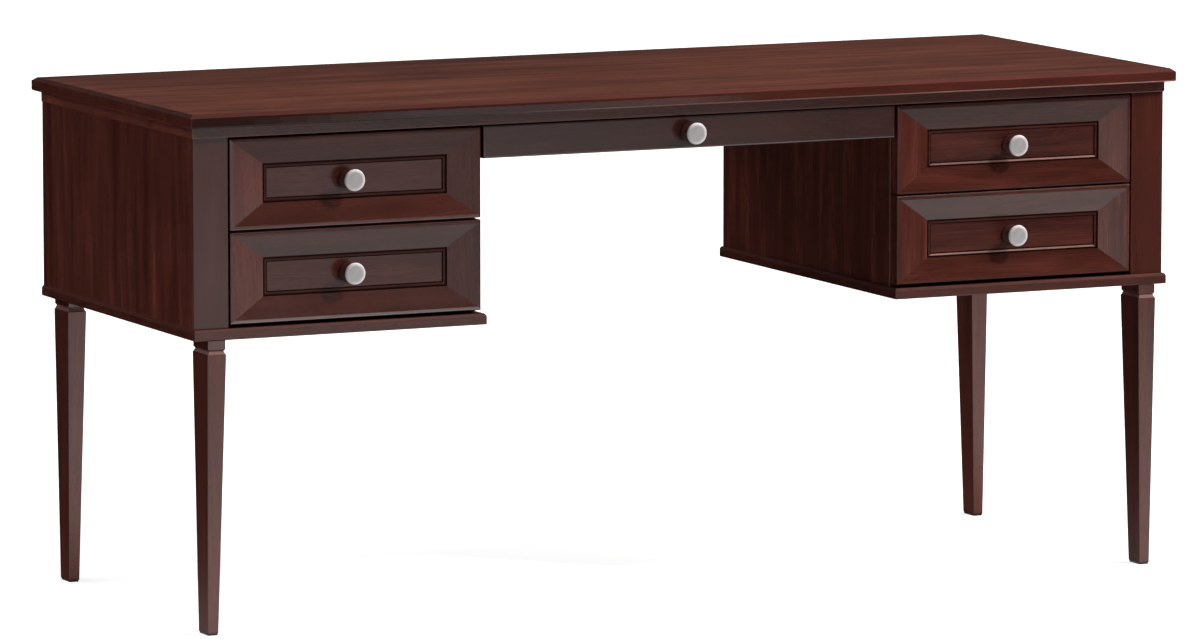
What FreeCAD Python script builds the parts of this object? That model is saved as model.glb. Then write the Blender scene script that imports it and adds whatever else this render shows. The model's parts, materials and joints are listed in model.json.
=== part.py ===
import FreeCAD, Part
import os

# Writing desk with two drawer pedestals, a shallow centre drawer and four tapered legs.
# X runs across the desk, Y from front to back and Z up, in millimetres.
# The origin lies on the floor under the middle of the whole desk, knobs included.
# Pieces of the right half are built in place, and those of the left half mirror them.

# Overall
desk_height = 753.0
carcass_width = 1577.0
carcass_depth = 581.0
kneehole_width = 676.0

# Desk top
top_thickness = 20.0
top_side_overhang = 11.5
top_front_overhang = 19.0
top_back_overhang = 14.0
top_bevel_width = 7.0
top_bevel_height = 5.0
top_arris_radius = 2.5

# Board under the top
sub_top_thickness = 16.0
sub_top_lip = 1.5
sub_top_arris_radius = 1.0

# Pedestal walls
wall_thickness = 18.0
stile_width = 53.5
corner_radius = 1.5
back_panel_thickness = 9.0
back_panel_inset = 3.0
divider_thickness = 18.0
divider_depth = 60.0

# Plate under each pedestal
base_thickness = 16.0
base_front_lip = 9.0
base_outer_lip = 2.5
base_inner_lip = 5.0
base_back_lip = 2.0
base_bevel_width = 2.0
base_bevel_height = 3.5
base_arris_radius = 1.5

# Rail at the back of the kneehole
rail_height = 60.0
rail_thickness = 18.0

# Legs
leg_top_width = 29.0
leg_top_depth = 57.0
leg_foot_width = 16.5
leg_foot_depth = 35.0
leg_outer_lean = 1.8
leg_front_lean = 9.5
leg_side_inset = 16.5
leg_front_reach = 11.0
leg_back_reach = 0.5
collar_height = 12.5
collar_inset = 1.0
groove_depth = 3.0
groove_fall = 2.5
groove_rise = 5.0
leg_arris_radius = 1.2
glide_thickness = 2.5
glide_inset = 1.2

# Tenon on the top of each leg, in a mortise of the plate
tenon_width = 15.0
tenon_depth = 36.0
tenon_height = 11.0
tenon_clearance = 0.2
tenon_end_room = 1.0

# Fronts of the pedestal drawers
front_thickness = 22.0
front_height = 132.0
front_proud = 2.0
front_side_gap = 3.0
front_inner_set = 1.0
front_top_gap = 2.5
front_mid_gap = 3.0
front_bottom_gap = 4.5
front_back_gap = 0.8
front_arris_radius = 2.5
rim_width = 5.5
border_side = 52.0
border_end = 37.5
bevel_fall = 4.5
shadow_width = 3.0
shadow_depth = 8.2
bead_width = 2.6
bead_depth = 6.2
quirk_width = 1.8
quirk_depth = 9.0
field_depth = 7.6

# Front of the centre drawer
centre_front_height = 47.5
centre_front_gap = 3.5
centre_top_gap = 1.5
centre_front_thickness = 20.0

# Drawer boxes, shared sizes
side_thickness = 12.0
back_thickness = 10.0
back_inset = 8.0
back_drop = 6.0
bottom_thickness = 5.0
bottom_in_groove = 5.0
bottom_clearance = 0.2
tail_length = 13.0
tail_flare = 2.2
tail_edge = 3.0
pin_width = 6.6

# Drawer boxes of the pedestals
box_length = 500.0
box_height = 110.0
box_rise = 10.0
box_outer_set = 8.0
box_wall_gap = 3.0
box_bottom_rise = 9.0
box_tail_count = 4

# Drawer box of the centre drawer
centre_box_length = 420.0
centre_box_height = 35.0
centre_box_rise = 4.5
centre_wall_gap = 9.0
centre_bottom_rise = 6.0
centre_tail_count = 1

# Wooden runners and their grooves
runner_height = 12.0
runner_reach = 6.0
runner_clearance = 0.3
runner_rise = 50.0
runner_front_set = 40.0
runner_back_gap = 4.0
bearer_lip = 9.0
bearer_gap = 1.0
centre_runner_height = 8.0
centre_runner_rise = 18.0

# Knobs
flange_diameter = 29.0
flange_thickness = 4.0
stem_diameter = 13.0
knob_body_length = 22.0
knob_screw_diameter = 4.0
knob_screw_length = 9.0
knob_screw_clearance = 0.2
knob_screw_room = 1.0
cap_diameter = 32.0
cap_thickness = 5.5
cap_chamfer = 1.2

# How far the knobs sit to the left of the middles of their fronts
left_knob_shift = 10.0
centre_knob_shift = 4.0
right_knob_shift = 3.0

# Reach of every cut past the face that it runs out of, and how near two points count as one
overrun = 5.0
same_place = 0.01

# Heights and places worked out from the sizes above
pedestal_clear = front_top_gap + 2 * front_height + front_mid_gap + front_bottom_gap
top_z = desk_height - top_thickness
sub_top_z = top_z - sub_top_thickness
plate_top_z = sub_top_z - pedestal_clear
plate_z = plate_top_z - base_thickness
lower_front_z = plate_top_z + front_bottom_gap
upper_front_z = lower_front_z + front_height + front_mid_gap
centre_front_z = sub_top_z - centre_top_gap - centre_front_height
carcass_x = carcass_width / 2
kneehole_x = kneehole_width / 2
outer_wall_x = carcass_x - wall_thickness
inner_wall_x = kneehole_x + wall_thickness
stile_x = carcass_x - stile_width
front_outer_x = stile_x - front_side_gap
front_inner_x = kneehole_x + front_inner_set
front_middle_x = (front_inner_x + front_outer_x) / 2
box_outer_x = front_outer_x - box_outer_set
box_inner_x = inner_wall_x + box_wall_gap
centre_front_x = kneehole_x - centre_front_gap
centre_box_x = kneehole_x - centre_wall_gap
leg_outer_x = carcass_x - leg_side_inset
knob_reach = knob_body_length + cap_thickness + front_proud
y_front = (knob_reach - carcass_depth - top_back_overhang) / 2
y_back = y_front + carcass_depth
y_face = y_front - front_proud
y_box = y_face + front_thickness
y_centre_box = y_face + centre_front_thickness
y_wall = y_box + front_back_gap
y_panel = y_back - back_panel_inset - back_panel_thickness
y_runner = y_front + runner_front_set
y_front_leg = y_front - leg_front_reach
y_back_leg = y_back + leg_back_reach - leg_top_depth


def point(x, y, z):
    return FreeCAD.Vector(x, y, z)


def block(x0, x1, y0, y1, z0, z1):
    """Square board between two opposite corners."""
    return Part.makeBox(x1 - x0, y1 - y0, z1 - z0, point(x0, y0, z0))


def level(x0, x1, y0, y1, z, inset=0):
    """Corners of a level rectangle drawn in by an inset."""
    x0, x1 = x0 + inset, x1 - inset
    y0, y1 = y0 + inset, y1 - inset
    return [point(x0, y0, z), point(x1, y0, z), point(x1, y1, z), point(x0, y1, z)]


def upright(x0, x1, z0, z1, y, inset=0):
    """Corners of a rectangle that faces the front, drawn in by an inset."""
    x0, x1 = x0 + inset, x1 - inset
    z0, z1 = z0 + inset, z1 - inset
    return [point(x0, y, z0), point(x1, y, z0), point(x1, y, z1), point(x0, y, z1)]


def flat_face(corners):
    """Flat face inside a closed outline."""
    return Part.Face(Part.makePolygon(corners + corners[:1]))


def stack(sections):
    """Solid with flat sides through rectangles that follow one another."""
    faces = [flat_face(sections[0]), flat_face(sections[-1])]
    for near, far in zip(sections, sections[1:]):
        for i, j in ((0, 1), (1, 2), (2, 3), (3, 0)):
            faces.append(flat_face([near[i], near[j], far[j], far[i]]))
    shell = Part.makeShell(faces)
    shell.sewShape()
    return Part.makeSolid(shell).removeSplitter()


def edges_at(shape, **place):
    """Edges whose ends both lie at the given coordinates."""
    return [edge for edge in shape.Edges
            if all(abs(getattr(end.Point, axis) - value) < same_place
                   for end in edge.Vertexes for axis, value in place.items())]


def mirrored(shape):
    """The same piece on the left half of the desk."""
    return shape.mirror(point(0, 0, 0), point(1, 0, 0))


def desk_top():
    """Top board, bevelled round its upper edge and rounded at its lower arris."""
    x = carcass_x + top_side_overhang
    plan = (-x, x, y_front - top_front_overhang, y_back + top_back_overhang)
    shoulder_z = desk_height - top_bevel_height
    low = level(*plan, top_z)
    shoulder = level(*plan, shoulder_z)
    high = level(*plan, desk_height, top_bevel_width)
    shape = stack([low, shoulder, high])
    return shape.makeFillet(top_arris_radius, edges_at(shape, z=top_z))


def sub_top():
    """Second board, a little proud of the walls; its front edge is the rail over the drawers."""
    x = carcass_x + sub_top_lip
    y = y_front - sub_top_lip
    shape = block(-x, x, y, y_back, sub_top_z, top_z)
    return shape.makeFillet(sub_top_arris_radius, edges_at(shape, y=y, z=sub_top_z))


def corner():
    """Outer wall and stile as one rounded corner, parted along the mitre: returns wall, stile."""
    tall = point(0, 0, pedestal_clear)
    wall_and_stile = [
        (carcass_x, y_front), (carcass_x, y_back), (outer_wall_x, y_back),
        (outer_wall_x, y_front + wall_thickness), (stile_x, y_front + wall_thickness), (stile_x, y_front)]
    both = flat_face([point(x, y, plate_top_z) for x, y in wall_and_stile]).extrude(tall)
    both = both.makeFillet(corner_radius, edges_at(both, x=carcass_x, y=y_front))
    stile_half = [
        (carcass_x + overrun, y_front - overrun), (outer_wall_x, y_front + wall_thickness),
        (stile_x - overrun, y_front + wall_thickness), (stile_x - overrun, y_front - overrun)]
    half = flat_face([point(x, y, plate_top_z) for x, y in stile_half]).extrude(tall)
    return both.cut(half).Solids[0], both.common(half).Solids[0]


def inner_wall():
    """Wall beside the kneehole; the drawer fronts cover its front edge."""
    return block(kneehole_x, inner_wall_x, y_wall, y_back, plate_top_z, sub_top_z)


def back_panel():
    """Inset back between the two walls of the pedestal."""
    return block(inner_wall_x, outer_wall_x, y_panel, y_panel + back_panel_thickness, plate_top_z, sub_top_z)


def divider():
    """Rail behind the joint between the upper and the lower front."""
    middle = upper_front_z - front_mid_gap / 2
    low = middle - divider_thickness / 2
    return block(inner_wall_x, outer_wall_x, y_wall, y_wall + divider_depth, low, low + divider_thickness)


def kneehole_rail():
    """Stiffening rail under the board at the back of the kneehole."""
    return block(-kneehole_x, kneehole_x, y_back - rail_thickness, y_back, sub_top_z - rail_height, sub_top_z)


def tenon(y, clearance=0, base_z=plate_z, end_room=0):
    """Tenon of the leg whose front face is at y, or the mortise that holds it."""
    x = leg_outer_x - leg_top_width / 2
    middle = y + leg_top_depth / 2
    half_x = tenon_width / 2 + clearance
    half_y = tenon_depth / 2 + clearance
    top = plate_z + tenon_height + end_room
    return block(x - half_x, x + half_x, middle - half_y, middle + half_y, base_z, top)


def base_plate():
    """Plate that carries the pedestal, bevelled on top and proud of it on every side."""
    plan = (
        kneehole_x - base_inner_lip, carcass_x + base_outer_lip,
        y_front - base_front_lip, y_back + base_back_lip)
    low = level(*plan, plate_z)
    shoulder = level(*plan, plate_top_z - base_bevel_height)
    high = level(*plan, plate_top_z, base_bevel_width)
    shape = stack([low, shoulder, high])
    shape = shape.makeFillet(base_arris_radius, edges_at(shape, z=plate_z))
    mortises = [
        tenon(y, tenon_clearance, plate_z - overrun, tenon_end_room) for y in (y_front_leg, y_back_leg)]
    return shape.cut(mortises).Solids[0]


def foot_plan(y):
    """Plan of a foot whose leg has its front face at y."""
    x1 = leg_outer_x - leg_outer_lean
    y0 = y + leg_front_lean
    return (x1 - leg_foot_width, x1, y0, y0 + leg_foot_depth)


def leg(y):
    """Tapered leg under a square collar with a tenon on it, and a V groove below the collar."""
    plan = (leg_outer_x - leg_top_width, leg_outer_x, y, y + leg_top_depth)
    collar_z = plate_z - collar_height
    waist_z = collar_z - groove_fall
    shoulder_z = waist_z - groove_rise
    taper = stack([level(*foot_plan(y), glide_thickness), level(*plan, shoulder_z)])
    long_edges = [edge for edge in taper.Edges if edge.BoundBox.ZLength > collar_height]
    taper = taper.makeFillet(leg_arris_radius, long_edges)
    neck = stack([
        level(*plan, shoulder_z, collar_inset),
        level(*plan, waist_z, groove_depth),
        level(*plan, collar_z, collar_inset),
        level(*plan, plate_z, collar_inset)])
    return taper.fuse([neck, tenon(y)]).removeSplitter().Solids[0]


def glide(y):
    """Thin pad under one foot."""
    x0, x1, y0, y1 = foot_plan(y)
    g = glide_inset
    return block(x0 + g, x1 - g, y0 + g, y1 - g, 0, glide_thickness)


def pedestal_runners():
    """Two pairs of runners: a tongue on a bearer at the outer wall, a strip at the inner wall."""
    run = point(0, y_panel - runner_back_gap - y_runner, 0)
    tongue_x = box_outer_x - runner_reach
    bearer_x = box_outer_x + bearer_gap
    strip_x = box_inner_x + runner_reach
    pieces = []
    for front_z in (lower_front_z, upper_front_z):
        z0 = front_z + box_rise + runner_rise
        z1 = z0 + runner_height
        outline = [
            (tongue_x, z0), (bearer_x, z0), (bearer_x, z0 - bearer_lip), (outer_wall_x, z0 - bearer_lip),
            (outer_wall_x, z1 + bearer_lip), (bearer_x, z1 + bearer_lip), (bearer_x, z1), (tongue_x, z1)]
        pieces.append(flat_face([point(x, y_runner, z) for x, z in outline]).extrude(run))
        pieces.append(block(inner_wall_x, strip_x, y_runner, y_runner + run.y, z0, z1))
    return pieces


def centre_runner():
    """Strip at the kneehole wall that carries the right edge of the centre drawer."""
    z0 = centre_front_z + centre_box_rise + centre_runner_rise
    y1 = y_centre_box + centre_box_length
    return block(centre_box_x - runner_reach, kneehole_x, y_runner, y1, z0, z0 + centre_runner_height)


def rounded_board(x0, x1, z0, z1, thickness):
    """Upright board at the drawer face with its front arrises rounded."""
    shape = block(x0, x1, y_face, y_face + thickness, z0, z1)
    return shape.makeFillet(front_arris_radius, edges_at(shape, y=y_face))


def panel(well, inset, near, far):
    """Square block inside the well of a front, between two depths."""
    return stack([upright(*well, y_face + near, inset), upright(*well, y_face + far, inset)])


def framed_board(x0, x1, z0, z1):
    """Drawer front with a rim, a mitred bevel, a shadow groove, a bead, a quirk and a sunk field."""
    rim = (x0 + rim_width, x1 - rim_width, z0 + rim_width, z1 - rim_width)
    well = (x0 + border_side, x1 - border_side, z0 + border_end, z1 - border_end)
    bead_inset = shadow_width + bead_width
    hollow = stack([
        upright(*rim, y_face - overrun), upright(*rim, y_face),
        upright(*well, y_face + bevel_fall), upright(*well, y_face + shadow_depth)])
    shadow = hollow.cut(panel(well, shadow_width, bead_depth, shadow_depth + overrun))
    sinking = panel(well, bead_inset, 0, quirk_depth)
    sinking = sinking.cut(panel(well, bead_inset + quirk_width, field_depth, quirk_depth + overrun))
    return rounded_board(x0, x1, z0, z1, front_thickness).cut(shadow).cut(sinking)


def tails(x0, y, z0, height, tail_count):
    """Dovetails of a drawer side that starts at x0 and y, spread over its height."""
    pitch = (height - 2 * tail_edge) / tail_count
    shapes = []
    for i in range(tail_count):
        low = z0 + tail_edge + i * pitch + pin_width / 2
        high = low + pitch - pin_width
        corners = [
            point(x0, y, low + tail_flare), point(x0, y - tail_length, low),
            point(x0, y - tail_length, high), point(x0, y, high - tail_flare)]
        shapes.append(flat_face(corners).extrude(point(side_thickness, 0, 0)))
    return shapes


def drawer_box(front, x0, x1, y, z0, *, length, height, tail_count, bottom_rise, groove_rise, groove_height):
    """Front, sides, back and bottom of one drawer, joined behind its front board."""
    left_x = x0 + side_thickness
    right_x = x1 - side_thickness
    y1 = y + length
    y_back_face = y1 - back_inset
    bottom_z = z0 + bottom_rise
    bottom_top = bottom_z + bottom_thickness
    c = bottom_clearance
    slot = block(
        left_x - bottom_in_groove - c, right_x + bottom_in_groove + c,
        y - bottom_in_groove - c, y1 + overrun, bottom_z - c, bottom_top + c)
    groove_z = z0 + groove_rise - runner_clearance
    groove_top = groove_z + groove_height + 2 * runner_clearance
    reach = runner_reach + runner_clearance
    y_stop = y_runner - runner_clearance
    left_tails = tails(x0, y, z0, height, tail_count)
    right_tails = tails(right_x, y, z0, height, tail_count)
    left = block(x0, left_x, y, y1, z0, z0 + height).fuse(left_tails).removeSplitter()
    left = left.cut([slot, block(x0 - overrun, x0 + reach, y_stop, y1 + overrun, groove_z, groove_top)])
    right = block(right_x, x1, y, y1, z0, z0 + height).fuse(right_tails).removeSplitter()
    right = right.cut([slot, block(x1 - reach, x1 + overrun, y_stop, y1 + overrun, groove_z, groove_top)])
    front = front.cut(left_tails + right_tails + [slot])
    return {
        "front": front.Solids[0],
        "left_side": left.Solids[0],
        "right_side": right.Solids[0],
        "back": block(
            left_x, right_x, y_back_face - back_thickness, y_back_face, bottom_top, z0 + height - back_drop),
        "bottom": block(
            left_x - bottom_in_groove, right_x + bottom_in_groove,
            y - bottom_in_groove, y_back_face, bottom_z, bottom_top),
    }


def turned(x, y, z, outline):
    """Solid turned on a forward axis from y; the outline gives radii and reaches."""
    half = flat_face([point(x + radius, y - reach, z) for radius, reach in outline])
    return half.revolve(point(x, y, z), point(0, -1, 0), 360)


def knob_body(x, y, z):
    """Dark turned body: screw, flange and stem."""
    screw_r = knob_screw_diameter / 2
    flange_r = flange_diameter / 2
    stem_r = stem_diameter / 2
    return turned(x, y, z, [
        (0, -knob_screw_length), (screw_r, -knob_screw_length), (screw_r, 0), (flange_r, 0),
        (flange_r, flange_thickness), (stem_r, flange_thickness), (stem_r, knob_body_length),
        (0, knob_body_length)])


def knob_cap(x, y, z):
    """Metal cap on the end of the stem, chamfered round its face."""
    cap_r = cap_diameter / 2
    back = knob_body_length
    face = back + cap_thickness
    return turned(x, y, z, [
        (0, back), (cap_r, back), (cap_r, face - cap_chamfer), (cap_r - cap_chamfer, face), (0, face)])


def knob_bore(x, y, z):
    """Bore in a front for the knob's screw."""
    reach = knob_screw_length + knob_screw_room
    radius = knob_screw_diameter / 2 + knob_screw_clearance
    return Part.makeCylinder(radius, reach + overrun, point(x, y - overrun, z), point(0, 1, 0))


def pedestal_drawer(front_z, knob_x):
    """All the pieces of one drawer of the right pedestal."""
    knob_place = (knob_x, y_face + field_depth, front_z + front_height / 2)
    front = framed_board(front_inner_x, front_outer_x, front_z, front_z + front_height)
    pieces = drawer_box(
        front.cut(knob_bore(*knob_place)), box_inner_x, box_outer_x, y_box, front_z + box_rise,
        length=box_length, height=box_height, tail_count=box_tail_count,
        bottom_rise=box_bottom_rise, groove_rise=runner_rise, groove_height=runner_height)
    pieces["knob_body"] = knob_body(*knob_place)
    pieces["knob_cap"] = knob_cap(*knob_place)
    return pieces


def centre_drawer():
    """All the pieces of the shallow drawer over the kneehole."""
    knob_place = (-centre_knob_shift, y_face, centre_front_z + centre_front_height / 2)
    top = centre_front_z + centre_front_height
    front = rounded_board(-centre_front_x, centre_front_x, centre_front_z, top, centre_front_thickness)
    box_z = centre_front_z + centre_box_rise
    pieces = drawer_box(
        front.cut(knob_bore(*knob_place)), -centre_box_x, centre_box_x, y_centre_box, box_z,
        length=centre_box_length, height=centre_box_height, tail_count=centre_tail_count,
        bottom_rise=centre_bottom_rise, groove_rise=centre_runner_rise, groove_height=centre_runner_height)
    pieces["knob_body"] = knob_body(*knob_place)
    pieces["knob_cap"] = knob_cap(*knob_place)
    return pieces


def write(name, *shapes):
    """Writes one node: a single piece, or a group of like pieces."""
    shape = shapes[0] if len(shapes) == 1 else Part.makeCompound(list(shapes))
    shape.exportStep(f"parts/{name}.step")


def write_frame():
    """Everything that stands still."""
    write("top_panel", desk_top())
    write("sub_top", sub_top())
    write("kneehole_rail", kneehole_rail())
    outer_wall, stile = corner()
    pedestal = {
        "outer_side": outer_wall, "stile": stile, "inner_side": inner_wall(),
        "back_panel": back_panel(), "divider": divider(), "base_plate": base_plate()}
    for name, shape in pedestal.items():
        write(f"left_{name}", mirrored(shape))
        write(f"right_{name}", shape)
    for end, y in (("front", y_front_leg), ("back", y_back_leg)):
        shape = leg(y)
        write(f"{end}_left_leg", mirrored(shape))
        write(f"{end}_right_leg", shape)
    glides = [glide(y) for y in (y_front_leg, y_back_leg)]
    write("leg_glides", *glides, *[mirrored(shape) for shape in glides])
    runners = pedestal_runners()
    write("left_runners", *[mirrored(shape) for shape in runners])
    write("right_runners", *runners)
    write("centre_runners", centre_runner(), mirrored(centre_runner()))


def write_drawers():
    """The five drawers; a left one mirrors a right one, so its two sides change names."""
    for row, front_z in (("upper", upper_front_z), ("lower", lower_front_z)):
        for name, shape in pedestal_drawer(front_z, front_middle_x - right_knob_shift).items():
            write(f"right_{row}_{name}", shape)
        for name, shape in pedestal_drawer(front_z, front_middle_x + left_knob_shift).items():
            other = {"left_side": "right_side", "right_side": "left_side"}.get(name, name)
            write(f"left_{row}_{other}", mirrored(shape))
    for name, shape in centre_drawer().items():
        write(f"centre_{name}", shape)


os.makedirs("parts", exist_ok=True)
write_frame()
write_drawers()
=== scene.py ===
import json
from math import cos, pi, radians, sin, sqrt

import bmesh
import bpy
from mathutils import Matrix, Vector

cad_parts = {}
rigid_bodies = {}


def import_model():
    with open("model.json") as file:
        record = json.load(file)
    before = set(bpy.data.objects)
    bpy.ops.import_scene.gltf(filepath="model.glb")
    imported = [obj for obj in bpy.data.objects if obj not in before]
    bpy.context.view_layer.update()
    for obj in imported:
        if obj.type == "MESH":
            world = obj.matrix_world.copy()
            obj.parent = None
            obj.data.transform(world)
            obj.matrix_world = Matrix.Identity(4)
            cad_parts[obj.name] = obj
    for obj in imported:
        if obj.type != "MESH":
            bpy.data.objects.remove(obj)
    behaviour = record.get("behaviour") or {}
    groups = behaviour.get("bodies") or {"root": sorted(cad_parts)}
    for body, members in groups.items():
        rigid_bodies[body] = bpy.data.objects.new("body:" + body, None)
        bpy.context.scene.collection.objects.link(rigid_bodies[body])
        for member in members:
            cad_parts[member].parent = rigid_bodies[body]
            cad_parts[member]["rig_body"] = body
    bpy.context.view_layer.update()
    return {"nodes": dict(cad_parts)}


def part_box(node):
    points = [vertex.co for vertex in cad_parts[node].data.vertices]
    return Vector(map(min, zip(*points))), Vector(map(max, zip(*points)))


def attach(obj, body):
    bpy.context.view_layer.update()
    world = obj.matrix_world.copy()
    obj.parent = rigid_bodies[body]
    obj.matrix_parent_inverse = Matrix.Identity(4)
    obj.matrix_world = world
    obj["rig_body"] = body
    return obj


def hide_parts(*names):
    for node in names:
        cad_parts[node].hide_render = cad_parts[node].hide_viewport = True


# Desk with drawers: its materials, its dressed pieces, and the floor, light and camera.
# Lengths are in metres, or in millimetres where they are multiplied by MM.

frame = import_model()
nodes = frame["nodes"]

MM = 0.001
SLACK = 1e-5
SIDES = ("left", "right")
PEDESTAL_DRAWERS = ("left_upper", "left_lower", "right_upper", "right_lower")
DRAWERS = (*PEDESTAL_DRAWERS, "centre")

# Helpers for shader nodes

NOISE_RANGE = (0.3, 0.7)
NOISE_CORE = (0.35, 0.65)
WHITE = (1.0, 1.0, 1.0, 1.0)


def feed(tree, socket, value):
    """Links a socket or sets its own value."""
    if isinstance(value, bpy.types.NodeSocket):
        tree.links.new(value, socket)
    else:
        socket.default_value = value


def add(tree, kind, sockets=None, **settings):
    """Adds a shader node with its settings and its input sockets."""
    node = tree.nodes.new("ShaderNode" + kind)
    for key, value in settings.items():
        setattr(node, key, value)
    for key, value in (sockets or {}).items():
        feed(tree, node.inputs[key], value)
    return node


def calculate(tree, operation, a, b=0.0):
    return add(tree, "Math", {0: a, 1: b}, operation=operation).outputs[0]


def plus(tree, total, *others):
    for other in others:
        total = calculate(tree, "ADD", total, other)
    return total


def times(tree, product, *others):
    for other in others:
        product = calculate(tree, "MULTIPLY", product, other)
    return product


def vector_math(tree, operation, a, b):
    return add(tree, "VectorMath", {0: a, 1: b}, operation=operation).outputs[0]


def length_of(tree, vector):
    return add(tree, "VectorMath", {0: vector}, operation="LENGTH").outputs["Value"]


def axes_of(tree, place, axes):
    """Coordinates of a place along the named axes."""
    parts = add(tree, "SeparateXYZ", {0: place}).outputs
    return [parts["XYZ".index(axis)] for axis in axes]


def span(tree, value, low, high, to_low=0.0, to_high=1.0, smooth=False):
    """Maps low..high of a value onto to_low..to_high, clamped."""
    sockets = {"Value": value, "From Min": low, "From Max": high, "To Min": to_low, "To Max": to_high}
    kind = "SMOOTHSTEP" if smooth else "LINEAR"
    return add(tree, "MapRange", sockets, interpolation_type=kind).outputs[0]


def along(tree, value, *stops):
    """Runs in straight lines through (value, level) stops, and stays level before and after them."""
    start, level = stops[0]
    total = level
    for end, next_level in stops[1:]:
        if next_level != level:
            total = plus(tree, total, span(tree, value, start, end, 0.0, next_level - level))
        start, level = end, next_level
    return total


def blend_values(tree, factor, a, b):
    return add(tree, "Mix", {0: factor, 2: a, 3: b}, data_type="FLOAT").outputs[0]


def mix(tree, factor, a, b, blend="MIX"):
    """Mixes two colours."""
    node = add(tree, "Mix", data_type="RGBA", blend_type=blend)
    feed(tree, node.inputs[0], factor)
    feed(tree, node.inputs[6], a)
    feed(tree, node.inputs[7], b)
    return node.outputs[2]


def toned(tree, colour, tone):
    """Colour made darker or lighter by a tone."""
    grey = add(tree, "CombineColor", {0: tone, 1: tone, 2: tone}).outputs[0]
    return mix(tree, 1.0, colour, grey, "MULTIPLY")


def ramp(tree, value, stops):
    """Colour ramp through (place, colour) stops."""
    node = add(tree, "ValToRGB", {0: value})
    points = node.color_ramp.elements
    while len(points) < len(stops):
        points.new(0.5)
    for point, (place, colour) in zip(points, stops):
        point.position = place
        point.color = colour
    return node.outputs[0]


def cloud_noise(tree, place, scale, detail, roughness=0.5):
    sockets = {"Vector": place, "Scale": scale, "Detail": detail, "Roughness": roughness}
    return add(tree, "TexNoise", sockets).outputs["Fac"]


def bump(tree, height, strength, distance):
    sockets = {"Strength": strength, "Distance": distance, "Height": height}
    return add(tree, "Bump", sockets).outputs["Normal"]


def object_place(tree):
    return add(tree, "TexCoord").outputs["Object"]


def new_tree(name):
    material = bpy.data.materials.new(name)
    material.use_nodes = True
    material.node_tree.nodes.clear()
    return material, material.node_tree


def finish_tree(tree, shader):
    output = tree.nodes.new("ShaderNodeOutputMaterial")
    tree.links.new(shader, output.inputs["Surface"])


def finish_surface(tree, colour, roughness, normal, constants=None):
    """Ends a material with a surface shader; its constants are set on the shader's own sockets."""
    sockets = {"Base Color": colour, "Roughness": roughness, "Normal": normal}
    shader = add(tree, "BsdfPrincipled", sockets | (constants or {}))
    finish_tree(tree, shader.outputs[0])


# Materials

GREEN_SHARE = 0.24
BLUE_SHARE = 0.165

# Stops of the stained figure: place, and what the stain's value, green and blue are multiplied by.
STAINED_STOPS = (
    (0.0, 0.60, 0.96, 1.0), (0.35, 0.88, 1.0, 1.0), (0.65, 1.08, 1.01, 1.0), (1.0, 1.42, 1.05, 1.04))

# Stops of the bare figure: place, and what red, green and blue are multiplied by.
BARE_STOPS = ((0.0, 0.74, 0.68, 0.60), (0.5, 0.95, 0.94, 0.92), (1.0, 1.12, 1.13, 1.15))

KNOB_CAP_RADIUS = 16.0 * MM


def stain(value, green, blue):
    """Colour of a stain, from its red part and the shares that green and blue are of it."""
    return (value, value * green, value * blue, 1.0)


def grain_scale(grain, along_grain, across):
    """Scale per metre of a pattern that is drawn out along the grain."""
    return tuple(along_grain if axis == grain else across for axis in "XYZ")


def grain_waver(tree, place, grain, along_grain, across, roughness):
    """Slow noise that the grain lines bend with."""
    drawn = vector_math(tree, "MULTIPLY", place, grain_scale(grain, along_grain, across))
    sockets = {"Vector": drawn, "Scale": 1.0, "Detail": 1.0, "Roughness": roughness}
    return add(tree, "TexNoise", sockets).outputs["Color"]


def grain_noise(tree, place, grain, along_grain, across, detail, roughness=0.5, warp=0.0, shift=0.0):
    """Noise drawn out along the grain; a shift keeps one noise apart from another."""
    drawn = vector_math(tree, "MULTIPLY", place, grain_scale(grain, along_grain, across))
    moved = vector_math(tree, "ADD", drawn, (shift, shift * 1.7, shift * 0.6))
    sockets = {"Vector": moved, "Scale": 1.0, "Detail": detail, "Roughness": roughness, "Distortion": warp}
    return add(tree, "TexNoise", sockets).outputs["Fac"]


def board_tone(tree, place, seed, axis, width, difference):
    """Tone of each board, where a face is glued up from boards of one width."""
    index = calculate(tree, "FLOOR", calculate(tree, "DIVIDE", axes_of(tree, place, axis)[0], width))
    lot = add(tree, "TexWhiteNoise", {"W": plus(tree, index, seed * 7.3)}, noise_dimensions="1D")
    return span(tree, lot.outputs["Value"], 0.0, 1.0, 1.0 - difference, 1.0 + difference)


def refractive_index(sheen):
    """Index for the specular level of 1.0, at which a lacquer mirrors this share of light head on."""
    half = sqrt(sheen / 2)
    return (1 + half) / (1 - half)


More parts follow.
